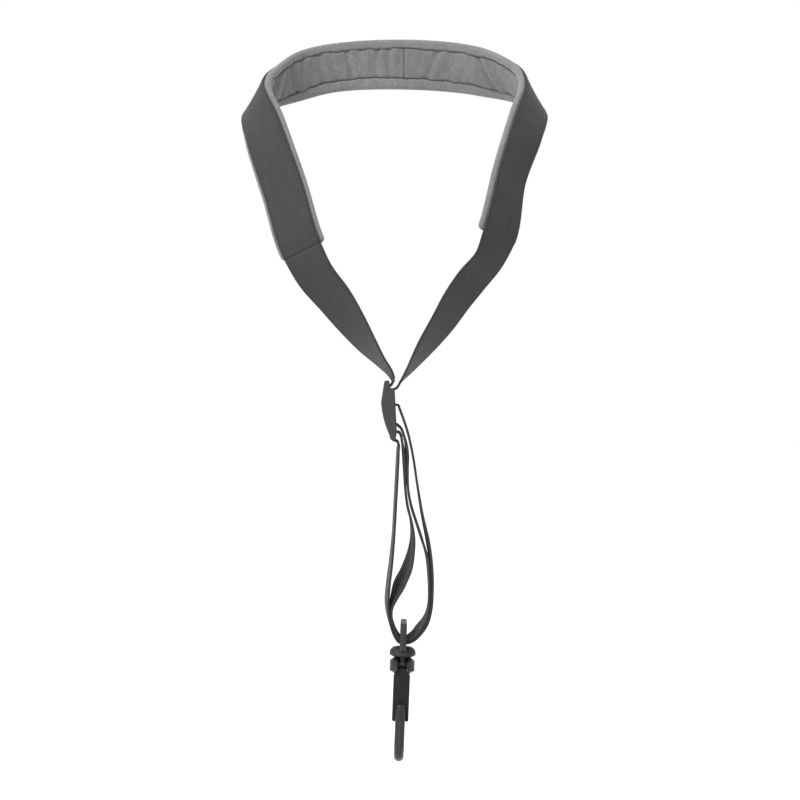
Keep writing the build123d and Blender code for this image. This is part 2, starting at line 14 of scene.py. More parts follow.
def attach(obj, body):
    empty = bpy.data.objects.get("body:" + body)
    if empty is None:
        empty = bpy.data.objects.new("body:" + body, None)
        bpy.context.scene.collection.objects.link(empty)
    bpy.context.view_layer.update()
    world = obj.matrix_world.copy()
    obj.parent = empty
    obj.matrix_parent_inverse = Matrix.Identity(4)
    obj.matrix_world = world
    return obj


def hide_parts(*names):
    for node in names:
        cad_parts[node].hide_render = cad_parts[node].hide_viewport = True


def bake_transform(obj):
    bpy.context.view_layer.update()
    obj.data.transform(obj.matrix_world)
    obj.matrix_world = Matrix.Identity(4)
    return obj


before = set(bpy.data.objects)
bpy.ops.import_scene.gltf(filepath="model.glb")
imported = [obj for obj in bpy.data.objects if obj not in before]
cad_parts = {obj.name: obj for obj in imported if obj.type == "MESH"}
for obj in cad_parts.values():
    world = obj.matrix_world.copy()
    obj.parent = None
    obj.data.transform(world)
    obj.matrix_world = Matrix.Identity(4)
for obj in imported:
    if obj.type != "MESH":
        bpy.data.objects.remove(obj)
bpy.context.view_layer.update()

MM = 0.001

# ------------------------------------------------------------------ sizes
WEBBING_WIDTH = 25.4
WEBBING_THICKNESS = 1.5
RIBS = 20  # lengthwise ribs on each face
RIB_DEPTH = 0.06
SELVEDGE = 0.8  # rounded edge of the webbing
YARN_PITCH = 1.05  # of the slanting yarns along a rib
YARN_LEAN = 0.9
DARK_EDGE = 10.6, 11.4  # where the webbing's darker edges begin and are at their full
POINTS_PER_RIB = 4
ROUTE_STEP = 2.5  # between two rings of the webbing
MIN_STEPS = 3  # rings from one point of the route to the next

PAD_WIDTH = 29.6  # at its ends
BACK_WIDENING = 1.3  # of each edge at the back of the neck
PAD_OUTER = -0.79  # depths off the middle of the webbing
PAD_INNER = -5.15
PAD_EDGE = 2.5  # rounded border, seen in section
PAD_CORNER = 3.2  # rounded corners of the pad's ends
PAD_STEP = 1.2
MARGIN_PUFF = 0.35
UPPER_SEAM = 9.9  # seams between the cover and the lining, from the middle of the band
LOWER_SEAM = -8.8
# Waves of each seam: height, length and seed.
UPPER_WAVES = [(0.7, 15, 1), (0.55, 4.3, 2), (0.3, 2.6, 8)]
LOWER_WAVES = [(0.6, 17, 3), (0.50, 4.9, 4), (0.3, 2.6, 9)]
SEAM_DEPTH = 1.0
SEAM_WIDTH = 0.7
SEAM_POINTS = 220
# Puckers beside the seams, in the cover and in the lining: height, length and seed.
COVER_PUCKERS = [(0.16, 2.6, 6), (0.12, 6.0, 7)]
COVER_PUCKER_REACH = 2.6
LINING_PUCKERS = [(0.22, 2.3, 8), (0.16, 5.5, 9)]
LINING_PUCKER_REACH = 2.4
LINING_END = 7.0  # from the pad's end to the lining's
LINING_THICKNESS = 0.6
LINING_CLEARANCE = 0.12  # round the lining in its bed
LINING_CROWN = 0.25  # how far the middle of the lining stands out of its bed
LINING_COLUMNS = 45
LINING_SPLIT = 2.6  # centre seam, from the middle of the band
SPLIT_GAP = 0.15  # from the centre seam to each panel

STITCH_ROW = 10.7
STITCH_PITCH = 3.0
STITCH_LENGTH = 2.35
STITCH_RADIUS = 0.24
LINING_STITCH_RADIUS = 0.3
STITCH_SIDES = 6
# A stitch from end to end: place along it, height and girth, as shares.
STITCH_SHAPE = [(0.0, -1.3, 0.55), (0.12, -0.1, 0.9), (0.35, 0.45, 1.0),
                (0.65, 0.45, 1.0), (0.88, -0.1, 0.9), (1.0, -1.3, 0.55)]
STITCH_PULL = 0.12  # how far the thread draws the webbing's face down
STITCH_PULL_WIDTH = 0.7  # of that groove along the edges
END_PULL_WIDTH = 1.5  # and across the ends
END_ROWS = (2.1, 5.7)  # from the pad's ends
END_ROW_HALF = 10.0

FOLD_WANDER = (1.3, 9, 11)  # sideways, as height, length and seed
FOLD_RIDGE = 0.55  # share of a fold's depth that stands up again behind it
SWELLS = (0.25, 17, 5)  # of the lining between its folds, as height, length and seed
# Folds across the lining: place along the band, lean, half-width and depth.
FOLDS = [
    (-97.0, 5.0, 4.0, 1.68),
    (-84.0, 3.0, 1.6, 0.67),
    (-75.0, -1.0, 2.0, 1.23),
    (-68.0, 4.0, 2.2, 1.12),
    (-52.0, 0.0, 1.7, 1.12),
    (-33.0, -0.5, 1.7, 1.46),
    (-27.0, 2.0, 3.0, 0.56),
    (-15.0, 1.0, 2.4, 0.78),
    (-6.5, -0.5, 1.8, 1.23),
    (0.4, 0.5, 1.2, 0.78),
    (21.0, 3.0, 1.8, 1.01),
    (33.0, 2.0, 3.5, 0.56),
    (60.0, -9.0, 2.6, 1.76),
    (72.0, -7.0, 4.0, 0.5),
    (96.0, 4.0, 2.4, 1.01),
    (118.0, -3.0, 2.8, 0.64),
    (-121.0, 3.0, 2.6, 0.74),
    (-150.0, -4.0, 3.0, 0.64),
    (151.0, 5.0, 3.0, 0.64),
    (-190.0, 4.0, 2.6, 0.55),
    (187.0, -4.0, 2.8, 0.55),
]
# Short tucks in the cover's lower border: place along the band, half-width and depth.
BORDER_TUCKS = [
    (5.2, 0.35, 0.55),
    (-1.0, 0.45, 0.35),
    (-8.0, 0.5, 0.28),
    (-14.0, 0.4, 0.28),
    (-34.0, 0.6, 0.30),
    (24.0, 0.7, 0.25),
]

# Hook frame: bottom of the hook's head, on the swivel axis.
HOOK = (1.1, -90.0, -379.5)
HOOK_TILT = 2.2
PIN_Y, PIN_Z = -3.4, 2.6
SPRING_RADIUS = 1.1
SPRING_WIRE = 0.17
SPRING_START, SPRING_END = 2.9, 3.9
SPRING_TURNS = 3.25
COIL_POINTS = 20  # to a turn
WIRE_SIDES = 8
SPRING_LEG_Y = -2.72
SPRING_LEG_Z = -6.4

# Middle of the adjuster, which the webbing inside it is measured from.
ADJUSTER = (-6.5, -90.0, -222.0)

# ------------------------------------------------------------------ route of the webbing
# Each row is a point on the middle of the webbing and the direction across it.  The webbing is
# one closed loop, and these stretches follow each other along it.
LEFT_RUN = [
    (-4.0, -90.0, -203.7, 0.06, -1.00, 0.00),
    (-5.3, -90.0, -200.9, 0.09, -0.99, 0.05),
    (-11.6, -90.3, -193.0, 0.19, -0.97, 0.13),
    (-18.8, -90.6, -184.0, 0.36, -0.90, 0.25),
    (-28.2, -91.2, -171.0, 0.55, -0.75, 0.38),
    (-39.3, -92.5, -155.5, 0.72, -0.55, 0.45),
    (-50.5, -93.6, -141.6, 0.83, -0.42, 0.42),
]
BAND = [
    (-57.9, -93.6, -127.6, 0.89, -0.28, 0.36),
    (-70.4, -81.7, -89.0, 0.91, -0.22, 0.36),
    (-84.3, -64.4, -49.5, 0.82, -0.34, 0.48),
    (-91.0, -44.9, -30.0, 0.54, -0.52, 0.66),
    (-81.8, -19.5, -17.4, 0.05, -0.70, 0.71),
    (-56.0, -1.7, -5.7, -0.20, -0.11, 0.97),
    (0.0, 5.15, 0.0, 0.00, 0.00, 1.00),
    (51.1, -0.8, -4.6, 0.16, -0.36, 0.92),
    (74.4, -18.5, -13.8, -0.02, -0.77, 0.64),
    (84.5, -44.9, -29.6, -0.54, -0.53, 0.65),
    (79.2, -63.9, -47.0, -0.64, -0.52, 0.56),
    (68.6, -79.9, -78.5, -0.62, -0.68, 0.39),
    (58.7, -92.0, -119.4, -0.72, -0.59, 0.36),
]
RIGHT_RUN = [
    (52.5, -93.2, -133.0, -0.64, -0.72, 0.30),
    (42.7, -93.2, -144.7, -0.62, -0.70, 0.36),
    (35.0, -92.6, -155.0, -0.57, -0.74, 0.36),
    (25.4, -91.5, -170.0, -0.45, -0.82, 0.33),
    (14.4, -90.5, -185.5, -0.30, -0.93, 0.22),
    (4.9, -90.0, -199.0, -0.10, -0.99, 0.05),
    (0.2, -90.0, -205.2, 0.00, -1.00, 0.00),
]
RIGHT_OUTER_STRAND = [
    (-1.1, -90.0, -218.9, 0.00, -1.00, 0.00),
    (-0.4, -90.0, -220.6, 0.00, -1.00, 0.00),
    (1.4, -90.0, -225.4, 0.00, -1.00, 0.00),
    (4.4, -90.0, -234.4, 0.00, -1.00, 0.00),
    (7.0, -90.0, -245.5, 0.00, -1.00, 0.00),
    (10.6, -90.0, -268.2, 0.00, -1.00, 0.00),
    (13.3, -90.0, -284.6, 0.02, -1.00, 0.00),
    (16.6, -90.0, -300.1, 0.05, -1.00, 0.00),
    (19.0, -90.0, -318.1, 0.02, -1.00, 0.00),
    (19.3, -90.0, -330.6, 0.00, -1.00, 0.00),
]
OUTER_BIGHT = [
    (-7.2, -90.0, -344.0, 0.05, -1.00, 0.00),
    (-5.6, -90.0, -350.2, 0.03, -1.00, 0.00),
    (-3.4, -90.0, -355.8, 0.02, -1.00, 0.00),
    (-0.3, -90.0, -359.6, 0.00, -1.00, 0.00),
    (3.6, -90.0, -360.0, 0.00, -1.00, 0.00),
    (7.9, -90.0, -358.0, 0.00, -1.00, -0.05),
    (12.2, -90.0, -353.4, 0.02, -1.00, -0.09),
    (16.2, -90.0, -347.8, 0.02, -1.00, -0.04),
    (18.4, -90.0, -341.0, 0.00, -1.00, 0.00),
]
LEFT_OUTER_STRAND = [
    (-1.8, -90.0, -240.4, 0.00, -1.00, 0.00),
    (-1.1, -90.0, -241.5, 0.01, -1.00, 0.00),
    (-1.2, -90.0, -246.0, 0.03, -1.00, 0.00),
    (-1.8, -90.0, -258.9, 0.04, -1.00, 0.00),
    (-2.8, -90.0, -277.4, 0.04, -1.00, 0.00),
    (-3.9, -90.0, -297.0, 0.04, -1.00, 0.00),
    (-5.5, -90.0, -314.0, 0.06, -1.00, 0.00),
    (-7.1, -90.0, -327.0, 0.07, -1.00, 0.00),
    (-7.8, -90.0, -337.0, 0.07, -1.00, 0.00),
]
LEFT_INNER_STRAND = [
    (-0.8, -90.0, -235.0, 0.00, -1.00, 0.00),
    (0.3, -90.0, -236.4, 0.00, -1.00, 0.00),
    (1.2, -90.0, -240.4, 0.00, -1.00, 0.00),
    (2.1, -90.0, -247.2, 0.03, -1.00, 0.00),
    (2.6, -90.0, -257.0, 0.02, -1.00, 0.00),
    (3.3, -90.0, -270.6, 0.00, -1.00, 0.00),
    (4.5, -90.0, -279.4, 0.00, -1.00, 0.00),
    (6.6, -90.0, -288.0, 0.02, -1.00, 0.00),
    (7.6, -90.0, -298.0, 0.07, -1.00, 0.00),
    (6.6, -90.0, -307.0, 0.14, -0.99, 0.05),
    (3.7, -90.0, -317.5, 0.26, -0.96, 0.10),
    (-0.4, -90.0, -326.0, 0.30, -0.95, 0.10),
    (-3.5, -90.0, -333.5, 0.16, -0.98, 0.05),
    (-5.4, -90.0, -339.5, 0.06, -1.00, 0.00),
]
RIGHT_INNER_STRAND = [
    (-1.2, -90.0, -231.0, 0.00, -1.00, 0.00),
    (0.5, -90.0, -232.6, 0.00, -1.00, 0.00),
    (2.1, -90.0, -236.4, 0.00, -1.00, 0.00),
    (3.6, -90.0, -242.0, 0.02, -1.00, 0.00),
    (4.2, -90.0, -248.0, 0.04, -1.00, 0.00),
    (4.3, -90.0, -257.0, 0.02, -1.00, 0.00),
    (5.0, -90.0, -270.5, 0.00, -1.00, 0.00),
    (6.5, -90.0, -278.4, 0.00, -1.00, 0.00),
    (10.1, -90.0, -290.0, 0.00, -1.00, 0.00),
    (13.4, -90.0, -300.1, 0.00, -1.00, 0.00),
    (16.2, -90.0, -310.0, 0.03, -1.00, 0.00),
    (17.2, -90.0, -320.0, 0.02, -1.00, 0.00),
    (17.5, -90.0, -330.6, 0.00, -1.00, 0.00),
]
# Round the adjuster's bars, as right and up from its middle.
RIGHT_WRAP = [(4.45, 13.25), (1.6, 12.0), (-0.3, 10.6), (-0.95, 9.0), (-0.95, 6.0), (-0.2, 4.4),
              (1.8, 3.7), (4.6, 3.2)]
LOWER_WRAP = [(4.3, -18.2), (2.6, -17.55), (1.4, -16.5), (1.1, -14.7), (1.7, -12.9),
              (3.2, -12.6), (5.0, -12.9)]
LEFT_PASS = [(5.0, -8.7), (3.0, -7.8), (1.1, -6.6), (-1.2, -4.3), (-2.6, -1.7), (-2.75, 5.0),
             (-2.75, 9.8), (-1.7, 12.8), (0.6, 14.7), (1.8, 16.0)]
BIGHT_GAP = 1.62  # between the middles of the two bights


# ------------------------------------------------------------------ route helpers
def in_adjuster(points):
    """Route rows for points measured from the middle of the adjuster."""
    return [(ADJUSTER[0] + right, ADJUSTER[1], ADJUSTER[2] + up, 0, -1, 0) for right, up in points]


def inside_bight(rows, depth):
    """The bight's rows, moved towards the inside of its bend."""
    moved = []
    for index, row in enumerate(rows):
        before = np.array(rows[max(index - 1, 0)][:3])
        after = np.array(rows[min(index + 1, len(rows) - 1)][:3])
        inwards = np.cross(row[3:], after - before)
        inwards /= np.linalg.norm(inwards)
        moved.append((*(np.array(row[:3]) + depth * inwards), *row[3:]))
    return moved


def smooth(points):
    """Rows of a smooth curve through the points, and the row number of each point."""
    points = np.array(points, float)
    gaps = np.linalg.norm(np.diff(points[:, :3], axis=0), axis=1)[:, None]
    slopes = np.diff(points, axis=0) / gaps
    inner = (slopes[:-1] * gaps[1:] + slopes[1:] * gaps[:-1]) / (gaps[:-1] + gaps[1:])
    tangents = np.vstack([slopes[:1], inner, slopes[-1:]])
    rows, marks = [], []
    for index, gap in enumerate(gaps[:, 0]):
        marks.append(len(rows))
        count = max(MIN_STEPS, round(gap / ROUTE_STEP))
        for t in np.arange(count) / count:
            turn = tangents[index] * t * (1 - t) ** 2 - tangents[index + 1] * t * t * (1 - t)
            rows.append(
                points[index] * (1 - t) ** 2 * (1 + 2 * t)
                + points[index + 1] * t * t * (3 - 2 * t)
                + gap * turn
            )
    marks.append(len(rows))
    rows.append(points[-1])
    return np.array(rows), marks


class Strip:
    """A stretch of the route, with its directions across and out of the outer face."""

    def __init__(self, centre, across, out):
        self.centre, self.across, self.out = centre, across, out
        steps = np.linalg.norm(np.diff(centre, axis=0), axis=1)
        self.arc = np.concatenate([[0.0], np.cumsum(steps)])
        self.length = self.arc[-1]

    def cut(self, first, last):
        """The stretch from one row to another."""
        part = slice(first, last + 1)
        return Strip(self.centre[part], self.across[part], self.out[part])

    def place(self, arc, across, out):
        """Points at distances along, across and out of the middle line, as one array."""
        arc, across, out = np.broadcast_arrays(arc, across, out)
        centre, side, outward = (
            np.stack([np.interp(arc, self.arc, column) for column in grid.T], axis=-1)
            for grid in (self.centre, self.across, self.out)
        )
        return centre + across[..., None] * side + out[..., None] * outward


def strip_from(rows):
    """The strip of a smooth curve's rows."""
    centre = rows[:, :3]
    along = np.gradient(centre, axis=0)
    along /= np.linalg.norm(along, axis=1, keepdims=True)
    across = rows[:, 3:] - (rows[:, 3:] * along).sum(axis=1, keepdims=True) * along
    across /= np.linalg.norm(across, axis=1, keepdims=True)
    return Strip(centre, across, np.cross(across, along))


STRETCHES = {
    "left_webbing_run": LEFT_RUN,
    "band_webbing": BAND,
    "right_webbing_run": RIGHT_RUN,
    "right_webbing_wrap": in_adjuster(RIGHT_WRAP),
    "right_outer_strand": RIGHT_OUTER_STRAND,
    "outer_bight": OUTER_BIGHT[::-1],
    "left_outer_strand": LEFT_OUTER_STRAND[::-1],
    "lower_webbing_wrap": in_adjuster(LOWER_WRAP),
    "left_inner_strand": LEFT_INNER_STRAND,
    "inner_bight": inside_bight(OUTER_BIGHT, BIGHT_GAP),
    "right_inner_strand": RIGHT_INNER_STRAND[::-1],
    "left_webbing_pass": in_adjuster(LEFT_PASS),
}


def cut_route():
    """The strip of each named stretch, all cut from one smooth loop."""
    points = [row for rows in STRETCHES.values() for row in rows]
    rows, marks = smooth([*points, LEFT_RUN[0]])
    whole = strip_from(rows)
    strips, first = {}, 0
    for name, own in STRETCHES.items():
        last = first + len(own)
        # The band ends on its own last point, where the pad ends.
        start = marks[first - 1] if name == "right_webbing_run" else marks[first]
        end = marks[last - 1] if name == "band_webbing" else marks[last]
        strips[name] = whole.cut(start, end)
        first = last
    return strips


strips = cut_route()
band = strips["band_webbing"]
back_rows = band.centre[:, 1] > band.centre[:, 1].max() / 2
band_middle = np.interp(0.0, band.centre[back_rows, 0], band.arc[back_rows])


# ------------------------------------------------------------------ mesh helpers
def new_mesh(name, points, faces, uv=None):
    """An object from points in millimetres; uv holds each point's place on the cloth."""
    mesh = bpy.data.meshes.new(name)
    mesh.from_pydata((points.reshape(-1, 3) * MM).tolist(), [], faces)
    if uv is not None:
        layer = mesh.uv_layers.new(name="weave")
        corners = np.empty(len(mesh.loops), int)
        mesh.loops.foreach_get("vertex_index", corners)
        layer.data.foreach_set("uv", uv.reshape(-1, 2)[corners].ravel())
    tidy = bmesh.new()
    tidy.from_mesh(mesh)
    bmesh.ops.recalc_face_normals(tidy, faces=tidy.faces)
    tidy.to_mesh(mesh)
    tidy.free()
    # Only the caps at a piece's ends have more than four corners, and they stay flat.
    mesh.polygons.foreach_set("use_smooth", [len(face) == 4 for face in faces])
    obj = bpy.data.objects.new(name, mesh)
    bpy.context.scene.collection.objects.link(obj)
    return obj


def skin_faces(rings, sides, first=0, capped=True):
    """Faces of a closed skin over rings of points."""
    ids = first + np.arange(rings * sides).reshape(rings, sides)
    after = np.roll(ids, -1, axis=1)
    faces = np.stack([ids[:-1], after[:-1], after[1:], ids[1:]], axis=-1).reshape(-1, 4).tolist()
    if capped:
        faces += [ids[0][::-1].tolist(), ids[-1].tolist()]
    return faces


def ease(value):
    """0 to 1 along a smooth step."""
    value = np.clip(value, 0, 1)
    return value * value * (3 - 2 * value)


def bell(distance, width):
    """1 at no distance, falling to 0 past the width."""
    return np.exp(-((distance / width) ** 2))


def wander(places, period, seed):
    """Smooth noise from -1 to 1 at each place along a line."""
    flat = [noise.noise(Vector((place / period, seed, 0.5))) for place in np.ravel(places)]
    return np.reshape(flat, np.shape(places))


def waves(places, rows):
    """Several kinds of smooth noise together, each with its height, length and seed."""
    return sum(height * wander(places, length, seed) for height, length, seed in rows)


def unit(vectors):
    """Rows of vectors, each brought to a length of 1."""
    return vectors / np.linalg.norm(vectors, axis=-1, keepdims=True)


def rings_round(line, side, other, radius, sides):
    """A ring of points round each point of a line."""
    turn = 2 * pi * np.arange(sides) / sides
    ring = side[:, None] * np.cos(turn)[:, None] + other[:, None] * np.sin(turn)[:, None]
    return line[:, None] + ring * radius


# ------------------------------------------------------------------ webbing
def webbing_section():
    """Ring of the webbing's section: distances across it, and out of it on each face."""
    half = WEBBING_WIDTH / 2
    across = np.linspace(-half, half, RIBS * POINTS_PER_RIB + 1)
    edge = np.clip((half - np.abs(across)) / SELVEDGE, 0, 1)
    rounding = np.sqrt(1 - (1 - edge) ** 2)
    rib = RIB_DEPTH * (1 + np.cos(2 * pi * RIBS * across / WEBBING_WIDTH)) / 2
    height = (WEBBING_THICKNESS / 2 - RIB_DEPTH + rib) * rounding
    return (
        np.concatenate([across, across[-2:0:-1]]),
        np.concatenate([height, -height[-2:0:-1]]),
    )


def webbing(name, body, to=None):
    """Webbing along its stretch of the route, in place of the CAD node of the same name."""
    strip = strips[name]
    across, out = webbing_section()
    rings = strip.arc[:, None]
    heights = np.broadcast_to(out, (len(strip.arc), len(out))).copy()
    if name == "band_webbing":
        # The thread pulls the outer face down along its rows.
        pull = (out > 0) * STITCH_PULL
        heights -= pull * bell(np.abs(across) - STITCH_ROW, STITCH_PULL_WIDTH)
        for inset in END_ROWS:
            for row in (inset, strip.length - inset):
                within = ease((END_ROW_HALF + 1 - np.abs(across)) / 1.5)
                heights -= pull * bell(rings - row, END_PULL_WIDTH) * within
    points = strip.place(rings, across, heights)
    uv = np.stack(np.broadcast_arrays(across, rings), axis=-1)
    obj = new_mesh(name + "_cloth", points, skin_faces(*points.shape[:2]), uv)
    dress(obj, webbing_look)
    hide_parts(name)
    if to:
        blend_down(obj)
    else:
        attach(obj, body)
    return obj


def blend_down(obj):
    """Bakes the piece's placement into its mesh, without bending it between bodies."""
    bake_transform(obj)


# ------------------------------------------------------------------ padded band
def seam_lines(arc):
    """Where the cover meets the lining, above and below, at places along the band."""
    return UPPER_SEAM + waves(arc, UPPER_WAVES), LOWER_SEAM + waves(arc, LOWER_WAVES)


def folds(arc, across):
    """Depth of the lining's folds at places along and across the band."""
    depth = waves(arc, [SWELLS])
    for place, lean, width, fold in FOLDS:
        drift = waves(across + 3 * place, [FOLD_WANDER])
        line = arc - band_middle - place - lean * across / 10 - drift
        ridge = FOLD_RIDGE * bell(line - 1.7 * width, 1.3 * width)
        depth = depth + fold * (bell(line, width) - ridge)
    return depth


def pad_outline(arc):
    """Half-width and thickness of the pad, as shares, which round its ends off."""
    from_end = np.clip(np.minimum(arc, band.length - arc), 0, PAD_CORNER)
    width = PAD_CORNER - np.sqrt(PAD_CORNER ** 2 - (PAD_CORNER - from_end) ** 2)
    lip = np.clip(from_end / PAD_EDGE, 0, 1)
    from_back = 4 * np.abs(arc - band_middle) / band.length
    widening = BACK_WIDENING * np.cos(pi / 2 * np.clip(from_back, 0, 1)) ** 2
    return PAD_WIDTH / 2 + widening - width, np.sqrt(1 - (1 - lip) ** 2)


def pad_rings():
    """Places along the band, close together where the ends are rounded."""
    ends = np.array([0.02, 0.15, 0.4, 0.75, 1.2, 1.8, 2.5, PAD_CORNER])
    middle = np.arange(ends[-1] + PAD_STEP, band.length - ends[-1] - PAD_STEP / 2, PAD_STEP)
    return np.concatenate([ends, middle, band.length - ends[::-1]])


def padded_band():
    """The cover, filled: puffed borders, seams drawn in and the lining's bed between them."""
    arc = pad_rings()[:, None]
    # Shares across the pad: a coarse outer face, close points round the edges and inside.
    round_edge = 1 - np.array([0, 0.006, 0.02, 0.045, 0.08, 0.12, 0.17])
    outer = np.concatenate([-round_edge, np.linspace(-0.75, 0.75, 13), round_edge[::-1]])
    inner = np.concatenate([round_edge[1:], np.linspace(0.80, -0.80, 73), -round_edge[:0:-1]])
    half, lip = pad_outline(arc)
    middle = (PAD_OUTER + PAD_INNER) / 2
    thick = (PAD_OUTER - PAD_INNER) / 2

    def fullness(share):
        edge = np.clip(half * (1 - np.abs(share)) / PAD_EDGE, 0, 1)
        return thick * lip * np.sqrt(1 - (1 - edge) ** 2)

    margin = ease((np.abs(outer) * half - WEBBING_WIDTH / 2 - 0.1) / 1.1)
    outside = middle + fullness(outer) + MARGIN_PUFF * margin * lip

    across = inner * half
    upper, lower = seam_lines(arc)
    seam = np.minimum(np.abs(across - upper), np.abs(across - lower))
    depth = SEAM_DEPTH * bell(seam, SEAM_WIDTH)
    border = (across > upper) | (across < lower)
    depth = depth + border * waves(arc, COVER_PUCKERS) * bell(seam, COVER_PUCKER_REACH)
    bed = ease((upper - across) / 0.8) * ease((across - lower) / 0.8)
    below = LINING_THICKNESS + LINING_CLEARANCE + np.maximum(folds(arc, across), 0)
    depth = depth + bed * below
    for place, width, tuck in BORDER_TUCKS:
        line = arc - band_middle - place
        depth = depth + tuck * bell(line, width) * ease((lower - across) / 0.6)
    inside = middle - fullness(inner) + depth * lip

    across = np.concatenate([outer * half, across], axis=1)
    points = band.place(arc, across, np.concatenate([outside, inside], axis=1))
    obj = new_mesh("padded_cover", points, skin_faces(*points.shape[:2]))
    dress(obj, cover_look)
    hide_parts("pad_foam", "pad_cover")
    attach(obj, "neck_band")
    return obj


def lining(side, start, end):
    """A panel of the lining, from seam to seam, with its folds."""
    arc = np.concatenate([[start], np.arange(start + 0.4, end - 0.2, PAD_STEP), [end]])[:, None]
    share = np.linspace(0, 1, LINING_COLUMNS)
    upper, lower = seam_lines(arc)
    across = lower + LINING_CLEARANCE + share * (upper - lower - 2 * LINING_CLEARANCE)
    from_edge = np.minimum(share, 1 - share) * (upper - lower)
    from_end = np.minimum(arc - start, end - arc)
    tucked = 0.55 * bell(from_edge, 0.7) + 0.45 * bell(from_end, 0.9)
    puckers = waves(arc, LINING_PUCKERS) * bell(from_edge, LINING_PUCKER_REACH)
    crown = -LINING_CROWN * ease(from_edge / 5.0)
    surface = PAD_INNER + 0.08 + tucked + puckers + crown + folds(arc, across)
    under = surface + LINING_THICKNESS * (0.25 + 0.75 * ease(from_edge / 0.8))
    ring_across = np.concatenate([across, across[:, ::-1]], axis=1)
    points = band.place(arc, ring_across, np.concatenate([surface, under[:, ::-1]], axis=1))
    obj = new_mesh(f"lining_panel_{side}", points, skin_faces(*points.shape[:2]))
    dress(obj, lining_look)
    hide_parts(f"pad_lining_{side}")
    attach(obj, "neck_band")
    return obj


# ------------------------------------------------------------------ stitching
def stitching(name, node, seams, look, radius=STITCH_RADIUS):
    """Separate stitches along seams, each a list of places along, across and out."""
    share, rise, girth = np.array(STITCH_SHAPE).T
    points, faces = [], []
    for seam in seams:
        seam = np.array(seam, float)
        steps = np.linalg.norm(np.diff(seam[:, :2], axis=0), axis=1)
        length = np.concatenate([[0.0], np.cumsum(steps)])
        count = int(length[-1] // STITCH_PITCH)
        for start in (np.arange(count) + 0.5) * length[-1] / count - STITCH_LENGTH / 2:
            at = start + share * STITCH_LENGTH
            arc, across, out = (np.interp(at, length, column) for column in seam.T)
            line = band.place(arc, across, out + radius * rise)
            heading = unit(np.gradient(line, axis=0))
            outward = band.place(arc, across, out + 1) - band.place(arc, across, out)
            beside = unit(np.cross(heading, outward))
            upward = np.cross(beside, heading)
            first = len(points) * len(share) * STITCH_SIDES
            faces += skin_faces(len(share), STITCH_SIDES, first=first)
            width = radius * girth[:, None, None]
            points.append(rings_round(line, beside, upward, width, STITCH_SIDES))
    obj = new_mesh(name, np.array(points), faces)
    dress(obj, look)
    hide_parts(node)
    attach(obj, "neck_band")
    return obj


def outer_stitching():
    """Rows along both edges of the band's webbing, and two across each end."""
    face = WEBBING_THICKNESS / 2 - 0.1
    made = []
    arc = np.linspace(2.0, band.length - 2.0, 150)
    for name, side in (("upper_edge", 1), ("lower_edge", -1)):
        across = side * STITCH_ROW + 0.12 * wander(arc, 21, 10 + side)
        seam = np.stack([arc, across, np.full_like(arc, face)], axis=-1)
        made.append(stitching(f"{name}_stitches", f"{name}_stitching", [seam], thread_look))
    for side in ("left", "right"):
        rows = []
        for inset in END_ROWS:
            row = inset if side == "left" else band.length - inset
            rows.append([(row, -END_ROW_HALF, face), (row + 0.3, END_ROW_HALF, face)])
        made.append(stitching(f"{side}_end_stitches", f"{side}_end_stitching", rows, thread_look))
    return made


def inner_stitching():
    """Thread down in the seams between the lining and the cover, and in the centre seam."""
    arc = np.linspace(LINING_END, band.length - LINING_END, SEAM_POINTS)
    depth = PAD_INNER + 0.50
    seams = [
        np.stack([arc, line, np.full_like(arc, depth)], axis=-1) for line in seam_lines(arc)
    ]
    split = band_middle + LINING_SPLIT
    seams.append([(split, LOWER_SEAM + 0.6, depth), (split, UPPER_SEAM - 0.6, depth)])
    return stitching(
        "lining_stitches", "pad_centre_seam", seams, lining_thread_look, LINING_STITCH_RADIUS
    )


# ------------------------------------------------------------------ hardware
def hook_point(right, back, up):
    """A point measured from the bottom of the hook's head, in millimetres."""
    tilt = radians(HOOK_TILT)
    return (
        HOOK[0] + right * cos(tilt) + up * sin(tilt),
        HOOK[1] + back,
        HOOK[2] - right * sin(tilt) + up * cos(tilt),
    )


def gate_spring():
    """Coil round the gate's pin, with one leg down behind the gate."""
    line = []
    steps = round(SPRING_TURNS * COIL_POINTS)
    for step in range(steps + 1):
        turn = 2 * pi * step / COIL_POINTS
        along = SPRING_END + (SPRING_START - SPRING_END) * step / steps
        line.append((along, PIN_Y + SPRING_RADIUS * sin(turn), PIN_Z + SPRING_RADIUS * cos(turn)))
    for up in (PIN_Z - 0.6, 0.0, -2.0, SPRING_LEG_Z):
        line.append((SPRING_START, SPRING_LEG_Y, up))
    line = np.array([hook_point(*place) for place in line])
    heading = unit(np.gradient(line, axis=0))
    side = unit(np.cross(heading, (0.0, -0.35, 1.0)))
    other = np.cross(heading, side)
    points = rings_round(line, side, other, SPRING_WIRE, WIRE_SIDES)
    obj = new_mesh("gate_spring_wire", points, skin_faces(*points.shape[:2]))
    dress(obj, steel_look)
    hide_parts("gate_spring")
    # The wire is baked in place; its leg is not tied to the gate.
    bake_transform(obj)
    return obj


# ------------------------------------------------------------------ materials
def grey(value, warmth=0.0):
    """A neutral colour, a touch warmer or cooler."""
    return (value * (1 + warmth), value, value * (1 - warmth), 1.0)


